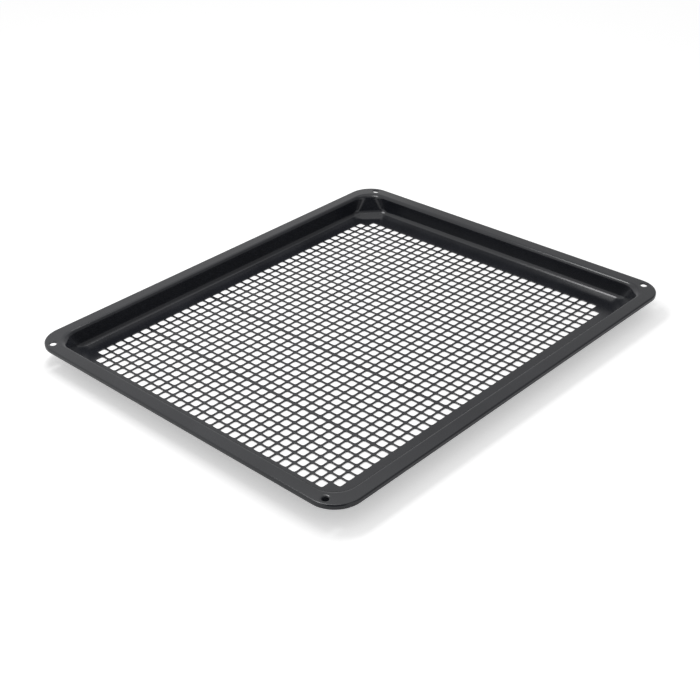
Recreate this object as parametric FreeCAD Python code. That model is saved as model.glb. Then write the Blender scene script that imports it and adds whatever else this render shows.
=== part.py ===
import FreeCAD, Part
import math
import os

# A perforated baking tray, pressed and folded from one enamelled steel sheet.
# Millimetres. The origin is in the middle of the floor's underside, with +X along
# the long side, +Y along the short side and +Z up, out of the open well.

# Overall size and sheet
overall_length = 445.0
overall_width = 375.0
overall_height = 22.0
sheet = 1.0

# Rim: a flat flange with a lip turned down round its outside
outer_corner = 25.0
lip_height = 4.0
flange_width = 14.5

# Well: upright sides, and corners that lean in from a tight top to a wide foot
top_corner = 20.0
foot_corner = 44.0

# Gentle slope round the floor, measured from the wall, with tighter corners at its toe
slope_rise = 3.4
slope_run = 8.0
toe_corner = 20.0

# Folds, from the outside in, each by the radius on its inner side
lip_bend = 0.5
rim_bend = 2.5
foot_bend = 5.0
toe_bend = 25.0

# Square holes through the floor, in rows, all but the one at each corner
hole_pitch = 17.0
hole_side = 13.5
field_margin = 2.9
field_shift_x = -0.8
field_shift_y = 4.8

# Round holes that the tray hangs by, one through each corner of the flange
hang_hole_radius = 3.0
hang_hole_from_end = 8.1
hang_hole_from_side = 19.2

# Levels of the sheet's upper side, and how far in from the rim its stretches lie
rim_top = overall_height
floor_top = sheet
slope_angle = math.atan2(slope_rise, slope_run)
foot_level = floor_top + slope_rise + foot_bend * math.tan(math.pi / 4 - slope_angle / 2)
slope_top = foot_level - foot_bend * math.cos(slope_angle)
to_wall = flange_width
to_slope = to_wall + foot_bend * (1 - math.sin(slope_angle))
to_floor = to_wall + slope_run + toe_bend * math.tan(slope_angle / 2)
quarter_turn = math.pi / 2
half_turn = math.pi

# Folds are made of narrow flats, and the next flat turns by no more than this
largest_turn = math.radians(22.5)

# Cutters run this far past the faces that they open
overrun = 1.0

# Levels, and counts of turns, that differ by less than this are taken as equal
nearly_none = 1e-6


def outline(inset, corner, level):
    """A rounded rectangle, inset from the rim's outside, at one level."""
    x = overall_length / 2 - inset
    y = overall_width / 2 - inset
    slant = corner * math.sqrt(0.5)
    arcs = []
    for sx, sy in ((1, 1), (-1, 1), (-1, -1), (1, -1)):
        middle = FreeCAD.Vector(sx * (x - corner), sy * (y - corner), level)
        on_end = middle + FreeCAD.Vector(sx * corner, 0, 0)
        on_side = middle + FreeCAD.Vector(0, sy * corner, 0)
        between = middle + FreeCAD.Vector(sx * slant, sy * slant, 0)
        first, last = (on_end, on_side) if sx == sy else (on_side, on_end)
        arcs.append(Part.Arc(first, between, last))
    edges = []
    for arc, following in zip(arcs, arcs[1:] + arcs[:1]):
        edges.append(arc.toShape())
        edges.append(Part.makeLine(arc.EndPoint, following.StartPoint))
    return Part.Wire(edges)


def fold(inset, level, radius, start, finish):
    """Points (inset, level) round a fold's centre; the angles turn from upright."""
    flats = math.ceil(abs(finish - start) / largest_turn - nearly_none)
    angles = [start + (finish - start) * i / flats for i in range(flats + 1)]
    return [(inset + radius * math.sin(a), level + radius * math.cos(a)) for a in angles]


def fold_down(inset, top, bend, depth, start, finish):
    """A fold that turns down from a flat at its top, with its centre under the sheet."""
    return fold(inset, top - sheet - bend, bend + sheet - depth, start, finish)


def fold_up(inset, level, bend, depth, start, finish):
    """A fold that turns towards level, with its centre over the sheet."""
    return fold(inset, level, bend + depth, start - half_turn, finish - half_turn)


def layered(points, corner):
    """A solid in layers, from one outline down to the next, along a section's points."""
    layers = []
    for upper, lower in zip(points, points[1:]):
        if upper[1] - lower[1] < nearly_none:
            continue
        pair = [outline(inset, corner(inset, level), level) for inset, level in (upper, lower)]
        layers.append(Part.makeLoft(pair, True, True))
    return layers[0].fuse(layers[1:])


def rim_corner(inset, level):
    """The rim's corner radius, with one centre all through the sheet."""
    return outer_corner - inset


def rim_form(depth, bottom):
    """The flange and lip as a solid, as far inside the sheet as asked."""
    turned = fold_down(lip_bend + sheet, rim_top, lip_bend, depth, 0, -quarter_turn)
    return layered(turned + [(depth, bottom)], rim_corner)


def well_corner(inset, level):
    """The well's corner radius, which widens down the wall and tightens in along the slope."""
    drop = min((rim_top - level) / (rim_top - slope_top), 1.0)
    at_wall = top_corner + drop * (foot_corner - top_corner)
    along = max((inset - to_slope) / (to_floor - to_slope), 0.0)
    tighter = along * (foot_corner + to_wall - to_floor - toe_corner)
    return at_wall + to_wall - inset - tighter


def well_form(depth):
    """The well as a solid, as far inside the sheet as asked."""
    section = fold_down(to_wall - rim_bend - sheet, rim_top, rim_bend, depth, 0, quarter_turn)
    section += fold_up(to_wall + foot_bend, foot_level, foot_bend, depth, quarter_turn, slope_angle)
    section += fold_up(to_floor, floor_top + toe_bend, toe_bend, depth, slope_angle, 0)
    return layered(section, well_corner)


def places(length, shift):
    """Where the holes lie along one side of the floor, the most that fit."""
    room = length - 2 * to_floor - 2 * (abs(shift) + field_margin)
    count = math.floor((room + hole_pitch - hole_side) / hole_pitch)
    return [shift + (i - (count - 1) / 2) * hole_pitch for i in range(count)]


def floor_punches():
    """One square punch for each hole of the floor."""
    columns = places(overall_length, field_shift_x)
    rows = places(overall_width, field_shift_y)
    punches = []
    for x in columns:
        for y in rows:
            if x in (columns[0], columns[-1]) and y in (rows[0], rows[-1]):
                continue
            corner = FreeCAD.Vector(x - hole_side / 2, y - hole_side / 2, -overrun)
            punches.append(Part.makeBox(hole_side, hole_side, sheet + 2 * overrun, corner))
    return Part.makeCompound(punches)


def hang_hole_drills():
    """One drill for each hanging hole, through the flange alone."""
    x = overall_length / 2 - hang_hole_from_end
    y = overall_width / 2 - hang_hole_from_side
    low = rim_top - sheet - overrun
    drills = []
    for sx in (-1, 1):
        for sy in (-1, 1):
            start = FreeCAD.Vector(sx * x, sy * y, low)
            drills.append(Part.makeCylinder(hang_hole_radius, sheet + 2 * overrun, start))
    return Part.makeCompound(drills)


def tray():
    """The whole tray, one solid."""
    lip_bottom = rim_top - lip_height
    rim = rim_form(0, lip_bottom).cut(rim_form(sheet, lip_bottom - overrun))
    pan = rim.fuse(well_form(sheet)).cut(well_form(0))
    return pan.cut(hang_hole_drills()).cut(floor_punches())


def main():
    os.makedirs("parts", exist_ok=True)
    shape = tray()
    solid = shape.Solids[0]
    solid.exportStep("parts/tray.step")
    size = solid.optimalBoundingBox()
    print("solids", len(shape.Solids), "valid", solid.isValid(), "faces", len(solid.Faces))
    print("size", round(size.XLength, 2), round(size.YLength, 2), round(size.ZLength, 2))
    print("volume", round(solid.Volume, 1))


main()
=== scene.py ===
import math

import bmesh
import bpy
from mathutils import Matrix, Vector


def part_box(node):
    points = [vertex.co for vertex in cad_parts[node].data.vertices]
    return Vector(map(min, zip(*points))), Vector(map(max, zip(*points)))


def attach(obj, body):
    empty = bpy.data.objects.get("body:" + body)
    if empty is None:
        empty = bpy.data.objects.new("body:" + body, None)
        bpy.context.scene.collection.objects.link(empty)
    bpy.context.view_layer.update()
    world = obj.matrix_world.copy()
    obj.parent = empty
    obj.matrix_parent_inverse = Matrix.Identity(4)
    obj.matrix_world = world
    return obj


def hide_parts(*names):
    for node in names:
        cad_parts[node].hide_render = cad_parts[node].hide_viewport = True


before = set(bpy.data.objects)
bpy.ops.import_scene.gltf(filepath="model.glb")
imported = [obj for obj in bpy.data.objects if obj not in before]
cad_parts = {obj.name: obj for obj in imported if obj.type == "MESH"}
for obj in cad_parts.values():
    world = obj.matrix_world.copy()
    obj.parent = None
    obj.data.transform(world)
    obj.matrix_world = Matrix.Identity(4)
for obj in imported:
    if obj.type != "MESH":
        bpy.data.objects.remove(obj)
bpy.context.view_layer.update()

tray_low, tray_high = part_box("tray")

# The tray's sizes, in metres, with its outside taken from the tray part in model.glb
MM = 0.001
half_length = (tray_high.x - tray_low.x) / 2
half_width = (tray_high.y - tray_low.y) / 2
rim_top = tray_high.z
sheet = 1.0 * MM
outer_corner = 25.0 * MM
lip_height = 4.0 * MM
flange_width = 14.5 * MM
slope_rise = 3.4 * MM
slope_run = 8.0 * MM

# Corners of the well, each a flat with an arc at both sides; the flat is widest at the foot
top_corner = 20.0 * MM
top_flat = 1.0 * MM
foot_corner = 9.0 * MM
foot_flat = 25.0 * MM
toe_corner = 9.0 * MM
toe_flat = 12.0 * MM

# Folds, from the outside in, each by the radius on its inner side
lip_bend = 0.5 * MM
rim_bend = 2.5 * MM
foot_bend = 5.0 * MM
toe_bend = 25.0 * MM

# Square air holes, with corners and edges rounded by the enamel
hole_pitch = 9.87 * MM
hole_side = 7.9 * MM
hole_corner = 1.5 * MM
hole_edge = 0.4 * MM
field_margin = 2.9 * MM
field_shift_x = -0.8 * MM
field_shift_y = 4.8 * MM

# The punch leaves a wider web after these columns, counted from the -X end
seam_columns = (7, 15)
seam_extra = 0.9 * MM

# Round holes that the tray hangs by, each in a shallow dimple
hang_hole_radius = 3.0 * MM
hang_hole_from_end = 8.1 * MM
hang_hole_from_side = 19.2 * MM
hang_hole_narrowing = 0.1 * MM
dimple_radius = 5.0 * MM
dimple_depth = 0.45 * MM

# How far under the dimple's bottom the hole is narrowest, widens again and ends
narrow_from = 0.15 * MM
narrow_to = 0.6 * MM
hang_hole_end = 0.8 * MM

# How finely round stretches are divided
corner_steps = 16
fold_turn = math.radians(11.25)
hole_corner_steps = 2
hole_edge_steps = 2
hang_hole_steps = 32
dimple_steps = 4

# Levels and insets that follow from these sizes
floor_top = sheet
slope_angle = math.atan2(slope_rise, slope_run)
foot_level = floor_top + slope_rise + foot_bend * math.tan(math.pi / 4 - slope_angle / 2)
slope_top = foot_level - foot_bend * math.cos(slope_angle)
to_wall = flange_width
to_slope = to_wall + foot_bend * (1 - math.sin(slope_angle))
to_floor = to_wall + slope_run + toe_bend * math.tan(slope_angle / 2)

# Turns, in radians
quarter_turn = math.pi / 2
half_turn = math.pi
full_turn = 2 * math.pi

# The way to each corner, in order round from +X +Y
corner_signs = ((1, 1), (-1, 1), (-1, -1), (1, -1))

# Counts of turns that differ by less than this are taken as equal
nearly_none = 1e-6

# Looks: enamel from its darker to its lighter clouds, and the table's greys
enamel_dark = (0.0106, 0.0116, 0.0154, 1)
enamel_light = (0.0148, 0.0162, 0.0211, 1)
enamel_smooth = 0.17
enamel_rough = 0.24
table_grey = (0.93, 0.93, 0.93, 1)
# Painted shade: the dark grey that reflections see on the table under the tray
painted_shade_grey = (0.12, 0.12, 0.12, 1)
white = (1, 1, 1, 1)

# Light: the surroundings' own, and what the camera sees added to the table
fill_strength = 0.6
table_lift = 0.4


def arc(middle, radius, start, steps):
    """Points round a circle from a start in quarter turns, with corner_steps to a quarter."""
    turns = [quarter_turn * (start + step / corner_steps) for step in range(steps + 1)]
    return [middle + Vector((math.cos(t), math.sin(t), 0)) * radius for t in turns]


def outline(inset, corner, level):
    """Points round a rounded rectangle, inset from the rim's outside."""
    x = half_length - inset - corner
    y = half_width - inset - corner
    points = []
    for quarter, (sx, sy) in enumerate(corner_signs):
        points += arc(Vector((sx * x, sy * y, level)), corner, quarter, corner_steps)
    return points


def well_outline(inset, level):
    """Points round the well at one level: each corner is two short arcs with a flat between."""
    corner, flat = well_corner(inset, level)
    back = flat * math.sqrt(0.5)
    x = half_length - inset - corner
    y = half_width - inset - corner
    points = []
    for quarter, (sx, sy) in enumerate(corner_signs):
        on_end = Vector((sx * x, sy * (y - back), level))
        on_side = Vector((sx * (x - back), sy * y, level))
        first, last = (on_end, on_side) if sx == sy else (on_side, on_end)
        points += arc(first, corner, quarter, corner_steps // 2)
        points += arc(last, corner, quarter + 0.5, corner_steps // 2)
    return points


def fold(inset, level, radius, start, finish, turn=fold_turn):
    """Points (inset, level) round a fold's centre; the angles turn from upright."""
    steps = math.ceil(abs(finish - start) / turn - nearly_none)
    angles = [start + (finish - start) * i / steps for i in range(steps + 1)]
    return [(inset + radius * math.sin(a), level + radius * math.cos(a)) for a in angles]


def fold_down(inset, top, bend, depth, start, finish):
    """A fold that turns down from a flat at its top, with its centre under the sheet."""
    return fold(inset, top - sheet - bend, bend + sheet - depth, start, finish)


def fold_up(inset, level, bend, depth, start, finish):
    """A fold that turns towards level, with its centre over the sheet."""
    return fold(inset, level, bend + depth, start - half_turn, finish - half_turn)


def rim_outline(inset, level):
    """Points round the rim, whose corners keep one centre all through the sheet."""
    return outline(inset, outer_corner - inset, level)


def well_corner(inset, level):
    """The arcs' radius and the flat's width at a corner of the well."""
    drop = min((rim_top - level) / (rim_top - slope_top), 1.0)
    along = max((inset - to_slope) / (to_floor - to_slope), 0.0)
    corner = top_corner + drop * (foot_corner - top_corner) + along * (toe_corner - foot_corner)
    flat = top_flat + drop * (foot_flat - top_flat) + along * (toe_flat - foot_flat)
    return corner, flat


def rim_section():
    """From the flange's top over the lip, round its raw edge and back underneath."""
    inset = lip_bend + sheet
    round_edge = sheet / 2
    bottom = rim_top - lip_height + round_edge
    over = fold_down(inset, rim_top, lip_bend, 0, 0, -quarter_turn)
    edge = fold(round_edge, bottom, round_edge, -quarter_turn, -3 * quarter_turn, fold_turn * 2)
    under = fold_down(inset, rim_top, lip_bend, sheet, -quarter_turn, 0)
    return over + edge + under


def well_section(depth):
    """From the flange down to the floor, as far inside the sheet as asked."""
    section = fold_down(to_wall - rim_bend - sheet, rim_top, rim_bend, depth, 0, quarter_turn)
    section += fold_up(to_wall + foot_bend, foot_level, foot_bend, depth, quarter_turn, slope_angle)
    section += fold_up(to_floor, floor_top + toe_bend, toe_bend, depth, slope_angle, 0)
    return section


def add_ring(mesh, points):
    """New corners of the mesh at these points."""
    return [mesh.verts.new(point) for point in points]


def join_rings(mesh, rings):
    """Bands of faces from each ring to the next."""
    for ring, following in zip(rings, rings[1:]):
        for i in range(len(ring)):
            j = (i + 1) % len(ring)
            mesh.faces.new((ring[i], ring[j], following[j], following[i]))


def swept_rings(mesh, section, around):
    """The bands that a section makes round the tray; gives its first and last rings."""
    rings = [add_ring(mesh, around(inset, level)) for inset, level in section]
    join_rings(mesh, rings)
    return rings[0], rings[-1]


def ring_edges(mesh, ring):
    """The edges round a ring, made where they are missing."""
    edges = []
    for one, following in zip(ring, ring[1:] + ring[:1]):
        edges.append(mesh.edges.get((one, following)) or mesh.edges.new((one, following)))
    return edges


def fill_between(mesh, rings):
    """A level sheet that fills the space between an outer ring and those inside it."""
    edges = [edge for ring in rings for edge in ring_edges(mesh, ring)]
    bmesh.ops.triangle_fill(mesh, use_beauty=True, use_dissolve=False, edges=edges, normal=(0, 0, 1))


def hang_hole_rings(mesh, x, y):
    """One round hole with its dimple; gives its rings on the flange's top and underside."""
    slope = dimple_radius - hang_hole_radius
    narrow = hang_hole_radius - hang_hole_narrowing
    dimple_level = rim_top - dimple_depth
    section = []
    for i in range(dimple_steps + 1):
        sink = i / dimple_steps
        section.append((dimple_radius - slope * sink, rim_top - dimple_depth * sink * sink))
    section.append((narrow, dimple_level - narrow_from))
    section.append((narrow, dimple_level - narrow_to))
    section.append((hang_hole_radius, dimple_level - hang_hole_end))
    section.append((dimple_radius, rim_top - sheet))
    turns = [full_turn * i / hang_hole_steps for i in range(hang_hole_steps)]
    rings = []
    for radius, level in section:
        points = [(x + radius * math.cos(t), y + radius * math.sin(t), level) for t in turns]
        rings.append(add_ring(mesh, points))
    join_rings(mesh, rings)
    return rings[0], rings[-1]


def hole_places(half_size, shift, seams=()):
    """The centres of the holes along one side of the floor, the most that fit."""
    room = 2 * (half_size - to_floor - abs(shift) - field_margin)
    count = math.floor((room + hole_pitch - hole_side) / hole_pitch)
    # The other webs give up what the wide ones take, so the field keeps its length
    step = hole_pitch - seam_extra * len(seams) / (count - 1)
    place = shift - (count - 1) / 2 * hole_pitch
    places = []
    for i in range(count):
        places.append(place)
        place += step + (seam_extra if i + 1 in seams else 0)
    return places


def cell_lines(places):
    """The lines between holes, in the middle of each web, with one past each end."""
    inner = [(one + following) / 2 for one, following in zip(places, places[1:])]
    return [places[0] - hole_pitch / 2] + inner + [places[-1] + hole_pitch / 2]


def hole_outline(x, y, spread, level):
    """A square with rounded corners, from its +X +Y corner round."""
    corner = hole_corner + spread
    flat = hole_side / 2 - hole_corner
    points = []
    for quarter, (sx, sy) in enumerate(corner_signs):
        for step in range(hole_corner_steps + 1):
            turn = quarter_turn * (quarter + step / hole_corner_steps)
            along_x = x + sx * flat + corner * math.cos(turn)
            along_y = y + sy * flat + corner * math.sin(turn)
            points.append((along_x, along_y, level))
    return points


def hole_section():
    """(spread, level) down a hole's edge: round at the top, and cut off at the bottom."""
    section = []
    for i in range(hole_edge_steps + 1):
        angle = quarter_turn * i / hole_edge_steps
        fall = hole_edge * (1 - math.cos(angle))
        section.append((hole_edge * (1 - math.sin(angle)), floor_top - fall))
    section.append((0, hole_edge))
    section.append((hole_edge, 0))
    return section


def cell_web(mesh, corners, ring):
    """The level web between a cell's four corners and the rounded hole in it."""
    per_corner = hole_corner_steps + 1
    for k, corner in enumerate(corners):
        bend = ring[k * per_corner:(k + 1) * per_corner]
        for one, following in zip(bend, bend[1:]):
            mesh.faces.new((corner, one, following))
        after = (k + 1) % len(corners)
        mesh.faces.new((corner, bend[-1], ring[after * per_corner], corners[after]))


def hole_field(mesh):
    """The floor's holes and webs; gives the field's border on the top and underside."""
    columns = hole_places(half_length, field_shift_x, seam_columns)
    rows = hole_places(half_width, field_shift_y)
    lines_x = cell_lines(columns)
    lines_y = cell_lines(rows)
    top = [[mesh.verts.new((x, y, floor_top)) for y in lines_y] for x in lines_x]
    bottom = [[mesh.verts.new((x, y, 0)) for y in lines_y] for x in lines_x]
    for i, x in enumerate(columns):
        for j, y in enumerate(rows):
            if x in (columns[0], columns[-1]) and y in (rows[0], rows[-1]):
                continue
            around = ((i + 1, j + 1), (i, j + 1), (i, j), (i + 1, j))
            rings = [add_ring(mesh, hole_outline(x, y, *place)) for place in hole_section()]
            join_rings(mesh, rings)
            cell_web(mesh, [top[a][b] for a, b in around], rings[0])
            cell_web(mesh, [bottom[a][b] for a, b in around], rings[-1])
    return border(mesh, top), border(mesh, bottom)


def border(mesh, grid):
    """The points round the outside of a grid whose four corner cells are left out, in order."""
    for column in (grid[0], grid[-1]):
        mesh.verts.remove(column[0])
        mesh.verts.remove(column[-1])
    right = grid[-1][1:-1] + [grid[-2][-2]]
    back = [column[-1] for column in grid[-2:0:-1]] + [grid[1][-2]]
    left = grid[0][-2:0:-1] + [grid[1][1]]
    front = [column[0] for column in grid[1:-1]] + [grid[-2][1]]
    return right + back + left + front


def make_tray():
    """The pressed sheet with its true count of holes, as one closed mesh."""
    mesh = bmesh.new()
    flange_outer, under_outer = swept_rings(mesh, rim_section(), rim_outline)
    flange_inner, floor_outer = swept_rings(mesh, well_section(0), well_outline)
    under_inner, base_outer = swept_rings(mesh, well_section(sheet), well_outline)
    x = half_length - hang_hole_from_end
    y = half_width - hang_hole_from_side
    holes = [hang_hole_rings(mesh, sx * x, sy * y) for sx in (-1, 1) for sy in (-1, 1)]
    fill_between(mesh, [flange_outer, flange_inner] + [top for top, under in holes])
    fill_between(mesh, [under_outer, under_inner] + [under for top, under in holes])
    field_top, field_base = hole_field(mesh)
    fill_between(mesh, [floor_outer, field_top])
    fill_between(mesh, [base_outer, field_base])
    bmesh.ops.recalc_face_normals(mesh, faces=mesh.faces)
    data = bpy.data.meshes.new("enamelled_tray")
    mesh.to_mesh(data)
    mesh.free()
    data.shade_smooth()
    piece = bpy.data.objects.new("enamelled_tray", data)
    bpy.context.scene.collection.objects.link(piece)
    weighted = piece.modifiers.new("Flats stay flat", "WEIGHTED_NORMAL")
    weighted.mode = "FACE_AREA"
    return piece


def new_material(name):
    """A material with an empty tree; gives the material, its nodes and its links."""
    material = bpy.data.materials.new(name)
    material.use_nodes = True
    nodes = material.node_tree.nodes
    nodes.clear()
    return material, nodes, material.node_tree.links


def enamel():
    """Dark vitreous enamel: near black, half gloss, with a faint orange-peel surface."""
    material, nodes, links = new_material("dark_enamel")
    output = nodes.new("ShaderNodeOutputMaterial")
    shader = nodes.new("ShaderNodeBsdfPrincipled")
    links.new(shader.outputs["BSDF"], output.inputs["Surface"])
    place = nodes.new("ShaderNodeTexCoord")

    # Soft clouds in the colour and the gloss, some 45 mm from one to the next
    thinnest = 0.3
    thickest = 0.7
    cloud = nodes.new("ShaderNodeTexNoise")
    cloud.inputs["Scale"].default_value = 22
    cloud.inputs["Detail"].default_value = 4
    links.new(place.outputs["Object"], cloud.inputs["Vector"])
    tint = nodes.new("ShaderNodeValToRGB")
    tint.color_ramp.elements[0].position = thinnest
    tint.color_ramp.elements[0].color = enamel_dark
    tint.color_ramp.elements[1].position = thickest
    tint.color_ramp.elements[1].color = enamel_light
    links.new(cloud.outputs["Fac"], tint.inputs["Fac"])
    links.new(tint.outputs["Color"], shader.inputs["Base Color"])

    gloss = nodes.new("ShaderNodeMapRange")
    gloss.inputs["From Min"].default_value = thinnest
    gloss.inputs["From Max"].default_value = thickest
    gloss.inputs["To Min"].default_value = enamel_smooth
    gloss.inputs["To Max"].default_value = enamel_rough
    links.new(cloud.outputs["Fac"], gloss.inputs["Value"])
    links.new(gloss.outputs["Result"], shader.inputs["Roughness"])

    # The orange peel, a millimetre or two from one rise to the next
    peel = nodes.new("ShaderNodeTexNoise")
    peel.inputs["Scale"].default_value = 650
    peel.inputs["Detail"].default_value = 2
    links.new(place.outputs["Object"], peel.inputs["Vector"])
    bump = nodes.new("ShaderNodeBump")
    bump.inputs["Strength"].default_value = 0.12
    bump.inputs["Distance"].default_value = 0.05 * MM
    links.new(peel.outputs["Fac"], bump.inputs["Height"])
    links.new(bump.outputs["Normal"], shader.inputs["Normal"])
    shader.inputs["IOR"].default_value = 1.52
    return material


def painted_shade_place(nodes, links, rays):
    """One where a reflection shows the table under the tray, the place of the painted shade, and
    nothing elsewhere.
    """
    place = nodes.new("ShaderNodeNewGeometry")
    apart = nodes.new("ShaderNodeSeparateXYZ")
    links.new(place.outputs["Position"], apart.inputs["Vector"])
    result = rays.outputs["Is Glossy Ray"]
    for axis, reach in (("X", half_length), ("Y", half_width)):
        away = nodes.new("ShaderNodeMath")
        away.operation = "ABSOLUTE"
        within = nodes.new("ShaderNodeMath")
        within.operation = "LESS_THAN"
        within.inputs[1].default_value = reach
        both = nodes.new("ShaderNodeMath")
        both.operation = "MULTIPLY"
        links.new(apart.outputs[axis], away.inputs[0])
        links.new(away.outputs["Value"], within.inputs[0])
        links.new(result, both.inputs[0])
        links.new(within.outputs["Value"], both.inputs[1])
        result = both.outputs["Value"]
    return result


def floor_material():
    """A white table that keeps the tray's soft shadow, with a painted shade under the tray that only
    reflections see.
    """
    material, nodes, links = new_material("white_table")
    output = nodes.new("ShaderNodeOutputMaterial")
    shader = nodes.new("ShaderNodeBsdfDiffuse")
    shader.inputs["Color"].default_value = table_grey
    lift = nodes.new("ShaderNodeEmission")
    rays = nodes.new("ShaderNodeLightPath")
    scale = nodes.new("ShaderNodeMath")
    scale.operation = "MULTIPLY"
    scale.inputs[1].default_value = table_lift
    both = nodes.new("ShaderNodeAddShader")
    links.new(rays.outputs["Is Camera Ray"], scale.inputs[0])
    links.new(scale.outputs["Value"], lift.inputs["Strength"])
    links.new(shader.outputs["BSDF"], both.inputs[0])
    links.new(lift.outputs["Emission"], both.inputs[1])
    # Painted shade: under the tray, reflections see this dark grey in place of the lit white table
    dark = nodes.new("ShaderNodeBsdfDiffuse")
    dark.inputs["Color"].default_value = painted_shade_grey
    painted_shade_mix = nodes.new("ShaderNodeMixShader")
    links.new(painted_shade_place(nodes, links, rays), painted_shade_mix.inputs["Fac"])
    links.new(both.outputs["Shader"], painted_shade_mix.inputs[1])
    links.new(dark.outputs["BSDF"], painted_shade_mix.inputs[2])
    links.new(painted_shade_mix.outputs["Shader"], output.inputs["Surface"])
    return material


def make_floor():
    """The plain surface that the tray stands on."""
    reach = 4.0
    data = bpy.data.meshes.new("table")
    level = -0.2 * MM
    corners = [(sx * reach, sy * reach, level) for sx, sy in corner_signs]
    data.from_pydata(corners, [], [(0, 1, 2, 3)])
    data.materials.append(floor_material())
    table = bpy.data.objects.new("table", data)
    bpy.context.scene.collection.objects.link(table)


def make_world():
    """White surroundings, as the camera and reflections see them, that light softly."""
    world = bpy.data.worlds.new("studio")
    bpy.context.scene.world = world
    world.use_nodes = True
    nodes = world.node_tree.nodes
    links = world.node_tree.links
    nodes.clear()
    output = nodes.new("ShaderNodeOutputWorld")
    seen = nodes.new("ShaderNodeBackground")
    seen.inputs["Color"].default_value = white
    fill = nodes.new("ShaderNodeBackground")
    fill.inputs["Color"].default_value = white
    fill.inputs["Strength"].default_value = fill_strength
    rays = nodes.new("ShaderNodeLightPath")
    either = nodes.new("ShaderNodeMath")
    either.operation = "MAXIMUM"
    any_of_three = nodes.new("ShaderNodeMath")
    any_of_three.operation = "MAXIMUM"
    mix = nodes.new("ShaderNodeMixShader")
    links.new(rays.outputs["Is Camera Ray"], either.inputs[0])
    links.new(rays.outputs["Is Glossy Ray"], either.inputs[1])
    links.new(either.outputs["Value"], any_of_three.inputs[0])
    links.new(rays.outputs["Is Transmission Ray"], any_of_three.inputs[1])
    links.new(any_of_three.outputs["Value"], mix.inputs["Fac"])
    links.new(fill.outputs["Background"], mix.inputs[1])
    links.new(seen.outputs["Background"], mix.inputs[2])
    links.new(mix.outputs["Shader"], output.inputs["Surface"])


def toward(heading, rise, distance):
    """The point this far from the tray's middle, by degrees round from +X and degrees up."""
    around = math.radians(heading)
    up = math.radians(rise)
    flat = distance * math.cos(up)
    return Vector((flat * math.cos(around), flat * math.sin(around), distance * math.sin(up)))


def make_card(name, place, width, height, glow):
    """A studio card that faces the tray and only shows in the enamel's reflections."""
    x = width / 2
    y = height / 2
    data = bpy.data.meshes.new(name)
    data.from_pydata([(-x, -y, 0), (x, -y, 0), (x, y, 0), (-x, y, 0)], [], [(0, 1, 2, 3)])
    material, nodes, links = new_material(name)
    output = nodes.new("ShaderNodeOutputMaterial")
    light = nodes.new("ShaderNodeEmission")
    light.inputs["Strength"].default_value = glow
    links.new(light.outputs["Emission"], output.inputs["Surface"])
    data.materials.append(material)
    card = bpy.data.objects.new(name, data)
    card.location = place
    card.rotation_euler = (-place).to_track_quat("-Z", "Y").to_euler()
    card.visible_camera = False
    card.visible_diffuse = False
    card.visible_shadow = False
    card.visible_transmission = False
    bpy.context.scene.collection.objects.link(card)


def make_cards():
    """Grey cards, for the darker parts of the photograph's studio."""
    make_card("camera_card", toward(222, 35, 1.2), 1.1, 1.0, 0.02)
    make_card("front_card", toward(240, 72, 1.4), 1.6, 1.0, 0.4)
    make_card("back_card", toward(57, 25, 1.25), 0.9, 0.9, 0.8)
    make_card("back_right_card", toward(18, 25, 1.2), 0.85, 0.9, 0.6)
    make_card("right_card", toward(-32, 28, 1.4), 2.3, 1.5, 0.4)


def make_key_light():
    """A long softbox that hangs level, just past the tray's +Y side, and shines straight down."""
    lamp = bpy.data.lights.new("key_light", "AREA")
    lamp.shape = "RECTANGLE"
    lamp.size = 0.42
    lamp.size_y = 0.16
    lamp.energy = 1.8
    light = bpy.data.objects.new("key_light", lamp)
    light.location = (-0.06, 0.23, 0.72)
    bpy.context.scene.collection.objects.link(light)


def make_camera():
    """The photograph's viewpoint: its view runs along the heading, falls, and rolls slightly."""
    heading = math.radians(44.87)
    fall = math.radians(31.41)
    roll = math.radians(-2.21)
    aim = Vector((-42.3, -9.8, 0)) * MM
    distance = 1112.7 * MM
    lens = 63.9
    shift_x = 0.0252
    shift_y = 0.0087
    turn = Matrix.Rotation(heading - quarter_turn, 4, "Z")
    tilt = Matrix.Rotation(quarter_turn - fall, 4, "X")
    rolled = Matrix.Rotation(roll, 4, "Z")
    camera = bpy.data.objects.new("camera", bpy.data.cameras.new("camera"))
    pose = turn @ tilt @ rolled
    back = pose @ Vector((0, 0, distance))
    camera.matrix_world = Matrix.Translation(aim + back) @ pose
    camera.data.lens = lens
    camera.data.shift_x = shift_x
    camera.data.shift_y = shift_y
    bpy.context.scene.collection.objects.link(camera)
    bpy.context.scene.camera = camera


def main():
    bpy.context.scene.view_settings.view_transform = "Standard"
    make_camera()
    make_world()
    make_floor()
    make_cards()
    make_key_light()
    tray = make_tray()
    tray.data.materials.append(enamel())
    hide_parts("tray")
    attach(tray, "root")


main()
